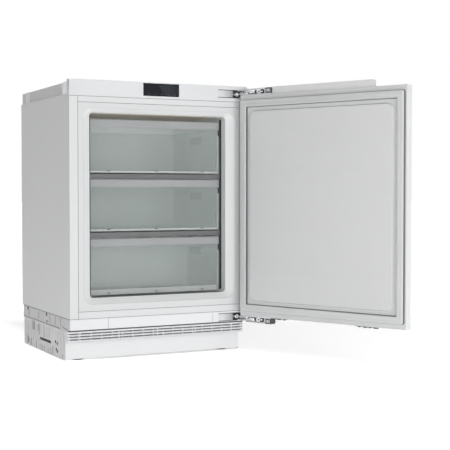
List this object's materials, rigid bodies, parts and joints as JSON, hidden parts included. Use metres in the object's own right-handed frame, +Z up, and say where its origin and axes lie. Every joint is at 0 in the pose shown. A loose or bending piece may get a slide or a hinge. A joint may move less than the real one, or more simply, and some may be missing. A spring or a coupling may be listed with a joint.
{
  "type": "undercounter freezer",
  "caption": "Undercounter freezer for a kitchen niche, its right-hinged door open, with clear drawers between glass shelves, a touch display fascia and a vented plinth.",
  "frame": {"origin": "on the floor, in the middle of the cabinet's width and the plane of its front", "axes": "+X to the right of someone facing the freezer, +Y to its back, +Z up"},
  "size_m": [0.8411, 1.0759, 0.855],
  "materials": {
    "cabinet_paint": "smooth white enamel",
    "door_paint": "smooth white enamel",
    "zinc_sheet": "bare galvanised sheet",
    "base_sheet": "white enamel on ribbed sheet",
    "liner_plastic": "glossy thermoformed",
    "aluminium_tube": "drawn",
    "foam": "open cells",
    "cover_plastic": "fine moulded grain",
    "dark_steel": "dark coated",
    "fascia_plastic": "fine moulded grain",
    "display_glass": "polished black",
    "housing_plastic": "moulded",
    "shelf_glass": "clear, ground edges",
    "trim_plastic": "moulded",
    "grille_plastic": "moulded",
    "plinth_plastic": "moulded",
    "black_enamel": "black enamel",
    "rubber": "matt",
    "copper_tube": "bright copper",
    "hinge_steel": "zinc plated",
    "gasket_rubber": "soft, white",
    "bar_aluminium": "satin, pale",
    "clear_plastic": "clear, moulded",
    "handle_plastic": "light grey, satin",
    "foot_plastic": "moulded"
  },
  "bodies": {
    "cabinet": {"back_panel": "zinc_sheet", "base_carrier": "cover_plastic", "base_pan": "base_sheet", "cabinet_foam": "foam", "compressor": "black_enamel", "compressor_mounts": "rubber", "condenser": "black_enamel", "control_board": "housing_plastic", "control_fascia": "fascia_plastic", "discharge_line": "copper_tube", "display_glass": "display_glass", "evaporator_coil": "aluminium_tube", "fan_bracket": "housing_plastic", "hinge_pins": "hinge_steel", "hinge_screws": "hinge_steel", "inner_liner": "liner_plastic", "left_base_cover": "fascia_plastic", "left_side_panel": "cabinet_paint", "liquid_line": "copper_tube", "lower_cross_rail": "cabinet_paint", "lower_hinge_arm": "hinge_steel", "lower_shelf": "shelf_glass", "lower_shelf_trim": "trim_plastic", "mains_inlet": "housing_plastic", "middle_base_cover": "fascia_plastic", "plinth_panel": "plinth_plastic", "rear_clips": "cover_plastic", "right_base_cover": "fascia_plastic", "right_side_panel": "cabinet_paint", "suction_line": "copper_tube", "top_cover": "cover_plastic", "upper_cross_rail": "cabinet_paint", "upper_hinge_arm": "hinge_steel", "upper_shelf": "shelf_glass", "upper_shelf_trim": "trim_plastic", "ventilation_grille": "grille_plastic", "worktop_brackets": "zinc_sheet"},
    "door": {"door_outer_panel": "door_paint", "door_liner": "liner_plastic", "door_foam": "foam", "door_gasket": "gasket_rubber", "panel_mounting_bar": "bar_aluminium", "panel_brackets": "dark_steel", "door_hinge_screws": "hinge_steel", "hinge_caps": "housing_plastic", "upper_door_hinge": "hinge_steel", "lower_door_hinge": "hinge_steel"},
    "hinge_links": {"upper_hinge_link": "hinge_steel", "lower_hinge_link": "hinge_steel"},
    "top_drawer": {"top_drawer_bin": "clear_plastic", "top_drawer_handle": "handle_plastic"},
    "middle_drawer": {"middle_drawer_bin": "clear_plastic", "middle_drawer_handle": "handle_plastic"},
    "bottom_drawer": {"bottom_drawer_bin": "clear_plastic", "bottom_drawer_handle": "handle_plastic"},
    "foot_front_left": {"foot_front_left": "foot_plastic"},
    "foot_front_right": {"foot_front_right": "foot_plastic"},
    "foot_rear_left": {"foot_rear_left": "foot_plastic"},
    "foot_rear_right": {"foot_rear_right": "foot_plastic"},
    "fan": {"fan_rotor": "housing_plastic"}
  },
  "joints": [
    {"name": "door_hinge", "type": "hinge", "parent": "cabinet", "child": "door", "pos_m": [0.2855, -0.0297, 0.4725], "axis": [0, 0, 1], "range_deg": [-115, 0]},
    {"name": "hinge_link_turn", "type": "hinge", "parent": "cabinet", "child": "hinge_links", "pos_m": [0.29141, -0.02042, 0.4725], "axis": [0, 0, 1], "range_deg": [-99.2, 0]},
    {"name": "top_drawer_slide", "type": "slide", "parent": "cabinet", "child": "top_drawer", "axis": [0, -1, 0], "range_m": [0, 0.3]},
    {"name": "middle_drawer_slide", "type": "slide", "parent": "cabinet", "child": "middle_drawer", "axis": [0, -1, 0], "range_m": [0, 0.3]},
    {"name": "bottom_drawer_slide", "type": "slide", "parent": "cabinet", "child": "bottom_drawer", "axis": [0, -1, 0], "range_m": [0, 0.2]},
    {"name": "foot_front_left_screw", "type": "slide", "parent": "cabinet", "child": "foot_front_left", "axis": [0, 0, 1], "range_m": [-0.025, 0]},
    {"name": "foot_front_right_screw", "type": "slide", "parent": "cabinet", "child": "foot_front_right", "axis": [0, 0, 1], "range_m": [-0.025, 0]},
    {"name": "foot_rear_left_screw", "type": "slide", "parent": "cabinet", "child": "foot_rear_left", "axis": [0, 0, 1], "range_m": [-0.025, 0]},
    {"name": "foot_rear_right_screw", "type": "slide", "parent": "cabinet", "child": "foot_rear_right", "axis": [0, 0, 1], "range_m": [-0.025, 0]},
    {"name": "fan_spin", "type": "hinge", "parent": "cabinet", "child": "fan", "pos_m": [0.11, 0.35, 0.0685], "axis": [0, 1, 0], "continuous": true}
  ],
  "couplings": [
    {"joint": "hinge_link_turn", "follows": "door_hinge", "ratio": 0.86066}
  ]
}
